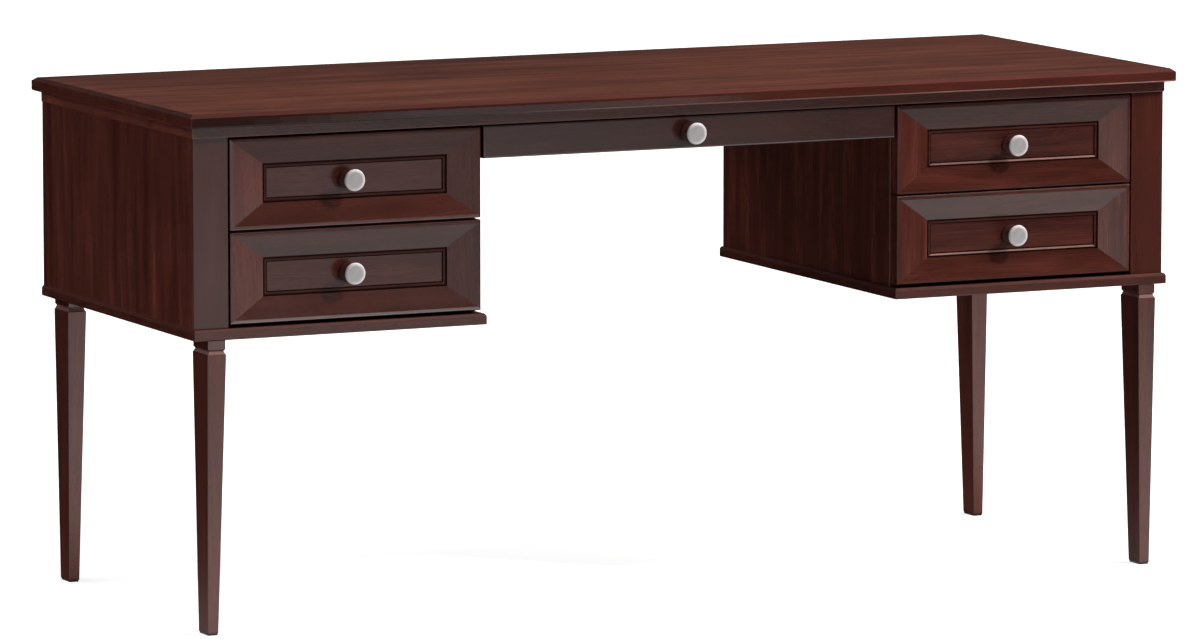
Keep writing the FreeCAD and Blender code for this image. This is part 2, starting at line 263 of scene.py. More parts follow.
def wood(name, grain, value, seed, tilt=0.01, contrast=1.0, boards=None, green=GREEN_SHARE, blue=BLUE_SHARE,
         roughness=0.19, sheen=0.064, wear_and_highlight=0.0, bands=0.35, patch=1.0, tones=None):
    """Stained, satin lacquered wood with its grain along one axis.

    value is the red part of the stain, and sheen the share of light that the lacquer mirrors head on.
    bands is the weight of broad bands in the figure, and a higher patch makes the streaks shorter.
    boards gives the axis across the glued boards, their width and how far their tones differ.
    """
    material, tree = new_tree(name)
    place = object_place(tree)
    turned_place = add(tree, "Mapping", {
        "Vector": place, "Location": (seed * 1.37 + 3.1, seed * 2.11 - 1.7, seed * 0.73 + 5.3),
        "Rotation": (tilt * 0.6, tilt, -tilt * 0.8)}).outputs[0]
    waver = grain_waver(tree, turned_place, grain, 1.6, 5.0, roughness=0.4)
    waver = vector_math(tree, "SUBTRACT", waver, (0.5, 0.5, 0.5))
    waver = vector_math(tree, "MULTIPLY", waver, grain_scale(grain, 0.0, 0.05))
    bent = vector_math(tree, "ADD", turned_place, waver)

    broad = grain_noise(tree, bent, grain, 0.7 * patch, 9.0, detail=2.0)
    streak = grain_noise(
        tree, bent, grain, 1.5 * patch, 42.0, detail=5.0, roughness=0.62, warp=0.15, shift=4.0)
    fibre = grain_noise(tree, bent, grain, 11.0, 620.0, detail=3.0, roughness=0.6, shift=9.0)
    pores = grain_noise(tree, bent, grain, 55.0, 1500.0, detail=1.0, shift=15.0)
    curl = grain_noise(tree, bent, grain, 9.0, 16.0, detail=2.0, warp=0.6, shift=21.0)

    figure = plus(tree, times(tree, broad, bands), times(tree, streak, 1.0 - bands))
    figure = span(tree, figure, 0.5 - 0.2 / contrast, 0.5 + 0.2 / contrast)
    colour = ramp(tree, figure, [
        (stop, stain(value * lighter, green * greener, blue * bluer))
        for stop, lighter, greener, bluer in STAINED_STOPS])
    fine, soft = 0.16 * contrast, 0.07 * contrast
    tone = times(
        tree, span(tree, fibre, *NOISE_RANGE, 1.0 - fine, 1.0 + fine),
        span(tree, curl, *NOISE_RANGE, 1.0 - soft, 1.0 + soft), span(tree, pores, 0.60, 0.72, 1.0, 0.62))
    if boards:
        tone = times(tree, tone, board_tone(tree, turned_place, seed, *boards))
    if tones:
        tone = times(tree, tone, tones(tree, place))
    colour = toned(tree, colour, tone)
    # Lighter rubbed patches on the arrises: partly wear and partly a painted highlight along the edges.
    if wear_and_highlight:
        rub_and_highlight = span(tree, cloud_noise(tree, place, 38.0, 4.0, 0.7), 0.38, 0.62, 0.15 * wear_and_highlight, wear_and_highlight)
        colour = mix(tree, rub_and_highlight, colour, (value * 2.6, value * 1.15, value * 0.86, 1.0))

    smear = cloud_noise(tree, place, 7.0, 3.0, 0.6)
    shine = plus(tree, span(tree, smear, *NOISE_RANGE, roughness - 0.035, roughness + 0.045),
                 span(tree, fibre, *NOISE_CORE, 0.03, -0.03))
    pits = times(tree, span(tree, pores, 0.58, 0.72), 0.5)
    relief = calculate(tree, "SUBTRACT", times(tree, fibre, 0.5), pits)
    relief = plus(tree, relief, times(tree, streak, 1.2))
    finish_surface(tree, colour, shine, bump(tree, relief, 0.18, 0.4 * MM), {
        "IOR": refractive_index(sheen), "Specular IOR Level": 1.0})
    return material


def bare_wood(name, grain, colour, seed):
    """Light unstained wood of the drawer boxes and runners."""
    material, tree = new_tree(name)
    moved = vector_math(tree, "ADD", object_place(tree), (seed * 1.9, seed * 0.7, seed * 2.3))
    waver = grain_waver(tree, moved, grain, 2.0, 7.0, roughness=0.5)
    waver = vector_math(tree, "MULTIPLY", waver, grain_scale(grain, 0.0, 0.06))
    bent = vector_math(tree, "ADD", moved, waver)
    rings = grain_noise(tree, bent, grain, 1.0, 70.0, detail=3.0)
    fibre = grain_noise(tree, bent, grain, 16.0, 700.0, detail=2.0)
    flecks = grain_noise(tree, bent, grain, 90.0, 420.0, detail=1.0)
    red, green, blue = colour
    shade = ramp(tree, span(tree, rings, 0.32, 0.68), [
        (stop, (red * redder, green * greener, blue * bluer, 1.0))
        for stop, redder, greener, bluer in BARE_STOPS])
    tone = times(tree, span(tree, fibre, *NOISE_RANGE, 0.9, 1.1), span(tree, flecks, 0.6, 0.75, 1.0, 0.8))
    shine = span(tree, fibre, *NOISE_RANGE, 0.61, 0.49)
    normal = bump(tree, fibre, 0.25, 0.3 * MM)
    finish_surface(tree, toned(tree, shade, tone), shine, normal, {"Specular IOR Level": 0.4})
    return material


def satin_metal(name):
    """Spun and brushed metal of the knob caps; its pattern runs round the Y axis of the piece.

    The rim carries a painted highlight, lightest at the top right, the middle is painted duller than the
    rim, and the side is painted dark as painted shade.
    """
    material, tree = new_tree(name)
    place = object_place(tree)
    x, y, z = axes_of(tree, place, "XYZ")
    radius = length_of(tree, add(tree, "CombineXYZ", {0: x, 2: z}).outputs[0])
    rings = add(tree, "TexNoise", {
        "W": times(tree, radius, 2600.0), "Detail": 2.0, "Scale": 1.0}, noise_dimensions="1D").outputs["Fac"]
    speck = cloud_noise(tree, place, 900.0, 2.0)
    cloud = cloud_noise(tree, place, 120.0, 3.0)
    right = calculate(tree, "DIVIDE", x, KNOB_CAP_RADIUS)
    up = calculate(tree, "DIVIDE", z, KNOB_CAP_RADIUS)
    # Painted light: the rim gets a painted highlight that grows towards the right and the top, and the
    # middle is painted duller.
    rim = plus(tree, times(tree, right, 0.17), times(tree, up, 0.10), times(tree, up, up, 0.16), 0.60)
    light = blend_values(tree, span(tree, radius, 10.0 * MM, 13.5 * MM, smooth=True), 0.43, rim)
    # Painted shade: the side of the cap behind its rim is painted dark.
    light = times(tree, light, span(tree, y, -25.0 * MM, -23.8 * MM, 1.0, 0.12))
    warmed = times(tree, light, span(tree, radius, 11.0 * MM, 13.5 * MM, 0.945, 0.92))
    base = add(tree, "CombineColor", {0: light, 1: warmed, 2: warmed}).outputs[0]
    dull = span(tree, cloud, *NOISE_CORE, 0.94, 1.05)
    dull = times(tree, dull, span(tree, speck, *NOISE_CORE, 0.95, 1.04))
    shine = span(tree, rings, *NOISE_RANGE, 0.36, 0.48)
    shine = plus(tree, shine, span(tree, cloud, *NOISE_RANGE, -0.03, 0.05))
    height = plus(tree, times(tree, rings, 0.7), times(tree, speck, 0.3))
    normal = bump(tree, height, 0.12, 0.1 * MM)
    finish_surface(tree, toned(tree, base, dull), shine, normal, {"Metallic": 0.5})
    return material


def moulded_plastic(name):
    """Dark, finely textured plastic of the glides."""
    material, tree = new_tree(name)
    place = object_place(tree)
    pebbles = add(tree, "TexVoronoi", {"Vector": place, "Scale": 1400.0}).outputs["Distance"]
    scuff = cloud_noise(tree, place, 160.0, 4.0)
    shade = ramp(tree, scuff, [(0.3, (0.012, 0.011, 0.011, 1.0)), (0.7, (0.03, 0.027, 0.026, 1.0))])
    shine = span(tree, scuff, *NOISE_RANGE, 0.45, 0.68)
    finish_surface(tree, shade, shine, bump(tree, pebbles, 0.3, 0.1 * MM))
    return material


# Tones over the length of a board; each is a function of a tree and a place

SECOND_BOARD_START = (0.018, 0.026)
LAST_BOARD_START = (0.222, 0.232)
STRIP_START = (-0.071, -0.067)
STRIP_END = (-0.043, -0.047)
TOP_LEFT_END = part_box("top_panel")[0].x
END_FACE = 1.5 * MM
END_CORNER = 3.5 * MM


def tones_along(axis, *stops):
    """Tones that run in straight lines through (place, tone) stops along an axis."""

    def tones(tree, place):
        return along(tree, axes_of(tree, place, axis)[0], *stops)

    return tones


def top_tones(tree, place):
    """The desk top is glued up from boards: the back ones are darker, most of all towards the left."""
    x, y = axes_of(tree, place, "XY")
    second_tone = span(tree, x, -0.35, 0.45, 0.84, 1.06, smooth=True)
    last_tone = blend_values(
        tree, span(tree, x, 0.0, 0.6, smooth=True), along(tree, x, (-0.75, 0.68), (-0.35, 0.67)), 1.05)
    tone = blend_values(tree, span(tree, y, *SECOND_BOARD_START, smooth=True), 1.0, second_tone)
    tone = blend_values(tree, span(tree, y, *LAST_BOARD_START, smooth=True), tone, last_tone)
    strip = times(tree, span(tree, y, *STRIP_START), span(tree, y, *STRIP_END), span(tree, x, 0.2, 0.5))
    # Painted light: the left of the top is painted lighter and the right darker, against the fall of the
    # lamps' light.
    painted_light_across = along(tree, x, (-0.75, 1.13), (-0.10, 1.0), (0.25, 1.0), (0.75, 0.88))
    return times(tree, tone, blend_values(tree, strip, 1.0, 0.9), painted_light_across)


def sub_top_painted_light(tree, place):
    """The edge of the second board carries painted shade under the desk top, a painted highlight at its foot
    and painted light that grows to the right; its left end is painted lighter.
    """
    x, z = axes_of(tree, place, "XZ")
    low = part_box("sub_top")[0]
    # Painted shade under the overhanging desk top, and a painted highlight along the foot.
    upright = plus(
        tree, span(tree, z, low.z + 2.5 * MM, low.z + 14.0 * MM, 1.0, 0.85),
        span(tree, z, low.z + 1.5 * MM, low.z + 3.5 * MM, 0.3, 0.0))
    # Painted light that grows towards the right.
    run = along(tree, x, (-0.40, 0.83), (-0.15, 1.02), (0.70, 1.21))
    # The left end face is painted lighter: painted light.
    off_end = span(tree, x, low.x + END_FACE, low.x + END_CORNER)
    return blend_values(tree, off_end, 1.4, times(tree, upright, run))


def side_tones(tree, place):
    """The outer sides are lighter at the foot of their front edge."""
    y, z = axes_of(tree, place, "YZ")
    front_foot = times(
        tree, span(tree, y, -0.08, -0.16, smooth=True), span(tree, z, 0.62, 0.54, smooth=True))
    return blend_values(tree, front_foot, 0.92, 1.25)


# The upper bevel of the desk top is painted darker than the board, as painted shade that deepens towards the
# left.
top_bevel_painted_shade = tones_along("X", (-0.75, 0.43), (-0.20, 0.66))

# The front edge of the desk top carries painted shade, deepest near its left end, and painted light that
# makes it lightest and reddest at its right end; its left end face is painted lighter.
top_edge_painted_light = tones_along(
    "X", (TOP_LEFT_END + END_FACE, 0.80), (TOP_LEFT_END + END_CORNER, 0.28), (-0.76, 0.28), (-0.16, 0.40),
    (-0.02, 0.72), (0.10, 0.72), (0.75, 1.10))

# A dull line runs along that edge just under the bevel; it carries the same painted shade towards the left
# and painted light towards the right, and fades towards the right.
top_line_painted_light = tones_along(
    "X", (TOP_LEFT_END + END_FACE, 0.80), (TOP_LEFT_END + END_CORNER, 0.28), (-0.76, 0.28), (-0.40, 0.56),
    (0.0, 0.72), (0.10, 0.72), (0.75, 1.10))

# The lower arris of the desk top carries a painted highlight that grows towards the right.
under_arris_painted_highlight = tones_along("X", (-0.35, 0.06), (-0.10, 0.50), (0.30, 0.50), (0.74, 0.93))

# The board of the centre drawer is painted darker to the left, as painted shade.
centre_painted_shade = tones_along("X", (-0.30, 0.80), (0.25, 1.05))

# The bottom rail of the upper right front is darker to the right.
dark_end_tones = tones_along("X", (0.46, 1.05), (0.60, 0.74))

# The legs are painted lighter towards the foot, as painted light thrown up from the floor, and end in a line
# of painted shade.
leg_painted_light = tones_along("Z", (0.003, 0.462), (0.006, 1.32), (0.05, 1.32), (0.36, 1.0))

# Pieces

CORNER_GAP = 2e-6
CUT_GAP = 1e-6
FLAT_ANGLE = radians(0.6)

# Rounded arrises: how sharp an edge gets one, its segments, and its width on each kind of piece.
ARRIS_ANGLE = radians(26.0)
ARRIS_SEGMENTS = 3
BOARD_ARRIS = 0.6 * MM
RAIL_ARRIS = 0.5 * MM
FRONT_ARRIS = 0.45 * MM
PLATE_ARRIS = 0.4 * MM
LEG_ARRIS = 0.35 * MM

# Upward part of a face's normal: a face is upright below the first, and lies level above the second.
UPRIGHT = 0.1
LEVEL = 0.99


def place_piece(mesh, node, origin=(0.0, 0.0, 0.0)):
    """Puts a mesh in the scene as the piece that stands for a node."""
    piece = bpy.data.objects.new(f"{node}_piece", mesh)
    piece.location = origin
    bpy.context.scene.collection.objects.link(piece)
    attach(piece, nodes[node]["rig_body"])
    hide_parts(node)
    return piece


def finish_node(node, material):
    """Gives a node that stays its material."""
    for slot in nodes[node].material_slots:
        slot.material = material


def soften_edges(piece, width, arris, flat=True):
    """Rounds the sharp arrises and, where faces are shaded smooth, keeps the wide ones flat."""
    bevel = piece.modifiers.new("arris", "BEVEL")
    bevel.width = width
    bevel.segments = ARRIS_SEGMENTS
    bevel.limit_method = "ANGLE"
    bevel.angle_limit = ARRIS_ANGLE
    bevel.use_clamp_overlap = True
    bevel.material = arris
    if flat:
        weighted = piece.modifiers.new("flat", "WEIGHTED_NORMAL")
        weighted.keep_sharp = True
        weighted.weight = 100


def copied(node):
    """Editable copy of a node's mesh with its shared corners joined."""
    shape = bmesh.new()
    shape.from_mesh(nodes[node].data)
    bmesh.ops.remove_doubles(shape, verts=shape.verts, dist=CORNER_GAP)
    return shape


def faces_merged(shape):
    """Joins the triangles of each flat face."""
    bmesh.ops.dissolve_limit(
        shape, angle_limit=FLAT_ANGLE, verts=shape.verts, edges=shape.edges, delimit={"MATERIAL"})
    bmesh.ops.recalc_face_normals(shape, faces=shape.faces)


def cut(shape, point, normal, faces=None):
    """Splits the given faces, or all faces, along a plane."""
    if faces is None:
        geometry = [*shape.verts, *shape.edges, *shape.faces]
    else:
        edges = {edge for face in faces for edge in face.edges}
        verts = {vert for face in faces for vert in face.verts}
        geometry = [*verts, *edges, *faces]
    bmesh.ops.bisect_plane(shape, geom=geometry, plane_co=point, plane_no=normal, dist=CUT_GAP)


def to_mesh(shape, name, materials, smooth=True):
    for face in shape.faces:
        face.smooth = smooth
    mesh = bpy.data.meshes.new(name)
    shape.to_mesh(mesh)
    shape.free()
    for material in materials:
        mesh.materials.append(material)
    return mesh


def board(node, material, arris, width):
    """A wooden piece with rounded arrises in place of a node."""
    shape = copied(node)
    faces_merged(shape)
    for face in shape.faces:
        face.material_index = 0
    piece = place_piece(to_mesh(shape, f"{node}_mesh", [material, arris]), node)
    soften_edges(piece, width, 1)


# Desk top

TOP_BEVEL_HEIGHT = 5.0 * MM
TOP_LINE_HEIGHT = 3.5 * MM
TOP_PARTS = ("top", "under_arris", "bevel", "line")

# Sheen of the front edge of the desk top, from each place on.
EDGE_SHEENS = (
    (-1.0, 0.012), (-0.70, 0.020), (-0.66, 0.030), (-0.62, 0.042), (-0.58, 0.054), (-0.54, 0.066),
    (-0.50, 0.078), (-0.46, 0.090), (-0.18, 0.098), (-0.12, 0.104), (0.0, 0.088), (0.03, 0.072),
    (0.055, 0.055), (0.075, 0.037), (0.09, 0.022), (0.105, 0.010))


def desk_top(woods, edge_starts, edge_woods):
    """Top board whose bevel, line under the bevel, lower front arris and edge have wood of their own."""
    shape = copied("top_panel")
    faces_merged(shape)
    for start in edge_starts[1:]:
        cut(shape, (start, 0, 0), (1, 0, 0))
    line_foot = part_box("top_panel")[1].z - TOP_BEVEL_HEIGHT - TOP_LINE_HEIGHT
    cut(shape, (0, 0, line_foot), (0, 0, 1))
    for face in shape.faces:
        centre = face.calc_center_median()
        up = face.normal.z
        faces_front = face.normal.y < -0.05
        if -LEVEL < up < -UPRIGHT and faces_front:
            index = TOP_PARTS.index("under_arris")
        elif UPRIGHT < up < LEVEL:
            index = TOP_PARTS.index("bevel")
        elif abs(up) >= UPRIGHT:
            index = TOP_PARTS.index("top")
        elif centre.z > line_foot:
            index = TOP_PARTS.index("line")
        else:
            index = len(TOP_PARTS) - 1 + sum(centre.x > start for start in edge_starts)
        face.material_index = index
    mesh = to_mesh(shape, "top_panel_mesh", [woods[part] for part in TOP_PARTS] + edge_woods)
    piece = place_piece(mesh, "top_panel")
    soften_edges(piece, BOARD_ARRIS, TOP_PARTS.index("bevel"))


# Legs

LEG_PARTS = ("front", "side", "collar", "pale", "arris")

# The middles of the collar's faces lie in this band about the underside of the base plates.
COLLAR_BELOW = 9.0 * MM
COLLAR_ABOVE = 3.0 * MM


def leg(node, woods):
    """Tapered leg: front, sides, collar and the groove's lower edge have wood of their own; the groove's
    lower edge is painted pale as a painted highlight.
    """
    shape = copied(node)
    faces_merged(shape)
    collar_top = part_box("left_base_plate")[0].z
    for face in shape.faces:
        height = face.calc_center_median().z
        slopes_up = 0.3 < face.normal.z < 0.95
        faces_side = abs(face.normal.x) > 0.9
        # Faces that slope up are painted pale: a painted highlight.
        if slopes_up:
            part = "pale"
        elif faces_side:
            part = "side"
        elif collar_top - COLLAR_BELOW < height < collar_top + COLLAR_ABOVE:
            part = "collar"
        else:
            part = "front"
        face.material_index = LEG_PARTS.index(part)
    mesh = to_mesh(shape, f"{node}_mesh", [woods[part] for part in LEG_PARTS])
    soften_edges(place_piece(mesh, node), LEG_ARRIS, LEG_PARTS.index("arris"))


# Drawer fronts

FRONT_PARTS = ("left", "right", "top", "bottom", "field", "bead", "low_bead", "groove", "back")
FRONT_RIM = 5.5 * MM
STILE_WIDTH = 52.0 * MM
RAIL_WIDTH = 37.5 * MM

# Where the bead starts and ends and the field starts, from the inner edge of the stiles and rails.
BEAD_START = 3.0 * MM
BEAD_END = 5.6 * MM
FIELD_START = 7.4 * MM

# Faces that lie deeper than BACK_DEPTH are finished as the back, and so are those deeper than
# INNER_DEPTH that are more than EDGE_INSET away from the edges.
BACK_DEPTH = 20.0 * MM
INNER_DEPTH = 10.0 * MM
EDGE_INSET = 1.0 * MM
TOP_EDGE_INSET = 0.5 * MM


def front_part(face, low, high):
    """Part of a drawer front that a face belongs to; its top edge is finished like the low bead."""
    centre = face.calc_center_median()
    middle = (low + high) / 2
    inset_x = min(centre.x - low.x, high.x - centre.x)
    inset_z = min(centre.z - low.z, high.z - centre.z)
    depth = centre.y - low.y
    inside = min(inset_x - STILE_WIDTH, inset_z - RAIL_WIDTH)
    if face.normal.z > 0.9 and high.z - centre.z < TOP_EDGE_INSET:
        return "low_bead"
    if depth > BACK_DEPTH or (depth > INNER_DEPTH and min(inset_x, inset_z) > EDGE_INSET):
        return "back"
    if inside > FIELD_START - SLACK:
        return "field"
    if BEAD_START - SLACK < inside < BEAD_END - SLACK:
        low_run = centre.z < low.z + RAIL_WIDTH + BEAD_END and inset_x > STILE_WIDTH + BEAD_END
        return "low_bead" if low_run else "bead"
    if inside > -SLACK:
        return "groove"
    if (inset_x - FRONT_RIM) / (STILE_WIDTH - FRONT_RIM) < (inset_z - FRONT_RIM) / (RAIL_WIDTH - FRONT_RIM):
        return "left" if centre.x < middle.x else "right"
    return "top" if centre.z > middle.z else "bottom"


def drawer_front(name, woods):
    """Front of a pedestal drawer, cut along its mitres so that each board has wood of its own."""
    node = f"{name}_front"
    low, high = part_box(node)
    middle = (low + high) / 2
    shape = copied(node)
    for normal in ((1, 0, 0), (0, 0, 1)):
        cut(shape, middle, normal)
    for sign_x, edge_x in ((-1, low.x), (1, high.x)):
        for sign_z, edge_z in ((-1, low.z), (1, high.z)):
            corner = Vector((edge_x - sign_x * FRONT_RIM, 0.0, edge_z - sign_z * FRONT_RIM))
            mitre = Vector((sign_z * (RAIL_WIDTH - FRONT_RIM), 0.0, -sign_x * (STILE_WIDTH - FRONT_RIM)))
            quarter = []
            for face in shape.faces:
                centre = face.calc_center_median()
                if (centre.x - middle.x) * sign_x > 0 and (centre.z - middle.z) * sign_z > 0:
                    quarter.append(face)
            cut(shape, corner, mitre.normalized(), quarter)
    for face in shape.faces:
        face.material_index = FRONT_PARTS.index(front_part(face, low, high))
    faces_merged(shape)
    mesh = to_mesh(shape, f"{node}_mesh", [woods[part] for part in FRONT_PARTS], smooth=False)
    soften_edges(place_piece(mesh, node), FRONT_ARRIS, -1, flat=False)


# Knobs, with their outlines as (radius, reach) points in millimetres

TURNED_STEPS = 96


def arc(centre, radii, start, end, steps):
    """Points of an elliptical arc between two angles in degrees."""
    angles = [radians(start + (end - start) * i / steps) for i in range(steps + 1)]
    return [(centre[0] + radii[0] * cos(angle), centre[1] + radii[1] * sin(angle)) for angle in angles]


def turned(name, outline, material):
    """Mesh turned round the Y axis."""
    shape = bmesh.new()
    rings = []
    for radius, reach in outline:
        if radius == 0:
            rings.append([shape.verts.new((0.0, -reach * MM, 0.0))])
            continue
        ring = []
        for i in range(TURNED_STEPS):
            angle = 2 * pi * i / TURNED_STEPS
            ring.append(shape.verts.new((radius * MM * cos(angle), -reach * MM, radius * MM * sin(angle))))
        rings.append(ring)
    for near, far in zip(rings, rings[1:]):
        for i in range(TURNED_STEPS):
            j = (i + 1) % TURNED_STEPS
            if len(near) == 1:
                corners = [near[0], far[i], far[j]]
            elif len(far) == 1:
                corners = [near[i], far[0], near[j]]
            else:
                corners = [near[i], far[i], far[j], near[j]]
            shape.faces.new(corners)
    bmesh.ops.recalc_face_normals(shape, faces=shape.faces)
    return to_mesh(shape, name, [material])


def knob_body_outline(cap_back):
    """Screw, flange and waisted stem."""
    screw_radius, screw_reach = 2.0, -9.0
    flange_radius, flange_chamfer, flange_shoulder, flange_top = 14.5, 0.6, 1.7, 3.5
    cove_radius, waist_radius, waist_reach, neck_radius = 11.6, 6.3, 12.0, 11.2
    shoulder_radii = (flange_radius - cove_radius, flange_top - flange_shoulder)
    shoulder = arc((cove_radius, flange_shoulder), shoulder_radii, 0, 90, 4)
    lower_cove = arc(
        (cove_radius, waist_reach), (cove_radius - waist_radius, waist_reach - flange_top), 270, 180, 6)
    upper_cove = arc(
        (neck_radius, waist_reach), (neck_radius - waist_radius, cap_back - waist_reach), 180, 90, 8)
    return [
        (0, screw_reach), (screw_radius, screw_reach), (screw_radius, 0),
        (flange_radius - flange_chamfer, 0), (flange_radius, flange_chamfer),
        *shoulder, *lower_cove[1:], *upper_cove[1:], (0, cap_back)]


def knob_cap_outline(cap_back):
    """Cap with a rounded back edge, a rounded rim and a slightly crowned face."""
    cap_radius, back_radius, back_edge = KNOB_CAP_RADIUS / MM, 13.6, 1.3
    rim_start, crown_radius, crown_foot, crown_top = 24.3, 12.9, 26.9, 27.5
    back = arc((back_radius, cap_back + back_edge), (cap_radius - back_radius, back_edge), 270, 360, 3)
    rim = arc((crown_radius, rim_start), (cap_radius - crown_radius, crown_foot - rim_start), 0, 90, 6)
    crown = [(radius, crown_top - (crown_top - crown_foot) * (radius / crown_radius) ** 2)
             for radius in (11.5, 9.0, 7.0, 5.0, 2.5, 0)]
    return [(0, cap_back), *back, *rim, *crown]


def knob(name, body_material, cap_material):
    """Turned wooden body with a spun metal cap in place of a drawer's two knob nodes."""
    cap_back = 22.0
    low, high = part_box(f"{name}_knob_cap")
    origin = ((low.x + high.x) / 2, high.y + cap_back * MM, (low.z + high.z) / 2)
    for part, slot, outline, material in (
            ("knob_body", "knob_wood", knob_body_outline(cap_back), body_material),
            ("knob_cap", "knob_metal", knob_cap_outline(cap_back), cap_material)):
        node = f"{name}_{part}"
        place_piece(turned(f"{node}_mesh", outline, material), node, origin)


# The desk's frame

STILE_FINISHES = {"left": {"value": 0.042, "sheen": 0.068}, "right": {"value": 0.049, "sheen": 0.020}}
PLATE_FINISHES = {"left": {"value": 0.052, "sheen": 0.062}, "right": {"value": 0.046, "sheen": 0.045}}

# Values of the front faces and side faces of the legs. The side faces are painted darker than the fronts as
# painted shade, and the front of the back left leg is painted much lighter, as painted light where the desk
# shades it.
LEG_VALUES = {
    ("front", "left"): (0.072, 0.055), ("front", "right"): (0.059, 0.055),
    ("back", "left"): (0.18, 0.052), ("back", "right"): (0.063, 0.055)}


def dress_top(arris):
    desk_top(
        {"top": wood(
            "top_wood", "X", 0.0945, 1, tilt=0.004, green=0.265, blue=0.15, sheen=0.075, contrast=1.35,
            bands=0.2, patch=1.6, tones=top_tones),
         # The lower arris is painted pale: a painted highlight.
         "under_arris": wood(
            "top_under_arris_highlight_wood", "X", 0.33, 4, tilt=0.004, green=0.43, blue=0.36, sheen=0.02,
            tones=under_arris_painted_highlight),
         "bevel": wood(
            "top_bevel_wood", "X", 0.085, 5, tilt=0.004, roughness=0.4, sheen=0.01, tones=top_bevel_painted_shade),
         "line": wood("top_line_wood", "X", 0.060, 3, tilt=0.004, sheen=0.012, tones=top_line_painted_light)},
        [start for start, _ in EDGE_SHEENS],
        [wood(f"top_edge_wood_{i}", "X", 0.060, 3, tilt=0.004, sheen=sheen, tones=top_edge_painted_light)
         for i, (_, sheen) in enumerate(EDGE_SHEENS)])
    board("sub_top", wood(
        "sub_top_wood", "X", 0.069, 2, sheen=0.072, tones=sub_top_painted_light), arris, RAIL_ARRIS)


def dress_pedestal(side, number, arris_x, arris_z):
    boards = {
        "outer_side": wood(
            f"{side}_outer_side_wood", "Z", 0.064, 11 + number, contrast=1.5, bands=0.25, patch=2.2,
            sheen=0.03, boards=("Y", 0.085, 0.10), tones=side_tones),
        "inner_side": wood(
            f"{side}_inner_side_wood", "Z", 0.060, 13 + number, contrast=1.4, bands=0.25, patch=2.0,
            sheen=0.03, boards=("Y", 0.095, 0.10)),
        "stile": wood(f"{side}_stile_wood", "Z", seed=15 + number, contrast=0.8, **STILE_FINISHES[side])}
    for part, material in boards.items():
        board(f"{side}_{part}", material, arris_z, BOARD_ARRIS)
    board(f"{side}_base_plate", wood(
        f"{side}_base_plate_wood", "X", seed=17 + number, **PLATE_FINISHES[side]), arris_x, PLATE_ARRIS)
    finish_node(f"{side}_back_panel", wood(
        f"{side}_back_panel_wood", "Z", 0.068, 25 + number, boards=("X", 0.12, 0.08)))
    finish_node(f"{side}_divider", wood(f"{side}_divider_wood", "X", 0.06, 27 + number))


def dress_legs(side, number, shared_woods):
    for i, end in enumerate(("front", "back")):
        name = f"{end}_{side}_leg"
        front_value, side_value = LEG_VALUES[end, side]
        leg(name, shared_woods | {
            "front": wood(
                f"{name}_wood", "Z", front_value, 19 + 2 * number + i, contrast=0.9, tones=leg_painted_light),
            "side": wood(
                f"{name}_side_wood", "Z", side_value, 91 + 2 * number + i, roughness=0.4, sheen=0.006,
                tones=leg_painted_light)})


def dress_frame(arris_x, arris_z):
    shared_woods = {
        "collar": wood("leg_collar_wood", "Z", 0.06, 48, sheen=0.11),
        "pale": wood("painted_highlight_edge_wood", "X", 0.17, 47, green=0.5, blue=0.45),
        "arris": arris_z}
    dress_top(arris_x)
    for i, side in enumerate(SIDES):
        dress_pedestal(side, i, arris_x, arris_z)
        dress_legs(side, i, shared_woods)
    board("kneehole_rail", wood("kneehole_rail_wood", "X", 0.066, 29), arris_x, RAIL_ARRIS)
    finish_node("leg_glides", moulded_plastic("glide_plastic"))
    runner = bare_wood("runner_wood", "Y", (0.42, 0.25, 0.12), 3)
    for node in ("left_runners", "right_runners", "centre_runners"):
        finish_node(node, runner)


# The drawers

# Values and sheens of the boards and beads of each front, in the order of FRONT_PARTS. The values carry
# painted light and shade: the top rails, which face down, are painted darker than the bottom rails, which
# face up.
FRONT_VALUES = {
    "left_upper": (0.054, 0.040, 0.032, 0.052, 0.044, 0.030, 0.030),
    "left_lower": (0.052, 0.038, 0.029, 0.052, 0.042, 0.030, 0.030),
    "right_upper": (0.049, 0.065, 0.025, 0.051, 0.049, 0.042, 0.080),
    "right_lower": (0.059, 0.076, 0.035, 0.042, 0.047, 0.042, 0.080)}
FRONT_SHEENS = {
    "left_upper": (0.090, 0.041, 0.036, 0.080, 0.068, 0.020, 0.020),
    "left_lower": (0.066, 0.051, 0.055, 0.200, 0.061, 0.020, 0.020),
    "right_upper": (0.030, 0.098, 0.045, 0.020, 0.045, 0.030, 0.064),
    "right_lower": (0.030, 0.077, 0.070, 0.020, 0.024, 0.030, 0.064)}

# The fronts on the right are cut from livelier wood.
FRONT_FIGURES = {"left": {"contrast": 1.25}, "right": {"contrast": 1.6, "bands": 0.25, "patch": 2.2}}


def front_woods(name, number):
    """Woods of the boards of a pedestal drawer's front; on the right, the low bead is painted pale as a
    painted highlight.
    """
    side = name.split("_")[0]
    woods = {}
    for j, (part, value, sheen) in enumerate(zip(FRONT_PARTS, FRONT_VALUES[name], FRONT_SHEENS[name])):
        grain = "Z" if part in ("left", "right") else "X"
        tones = dark_end_tones if (name, part) == ("right_upper", "bottom") else None
        woods[part] = wood(
            f"{name}_{part}_wood", grain, value, 51 + 7 * number + j, sheen=sheen, tones=tones,
            **FRONT_FIGURES[side])
    # On the right fronts the low bead and the top edge get a painted highlight.
    if side == "right":
        woods["low_bead"] = wood(f"{name}_pale_bead_wood", "X", 0.24, 87 + number, green=0.5, blue=0.42)
    return woods


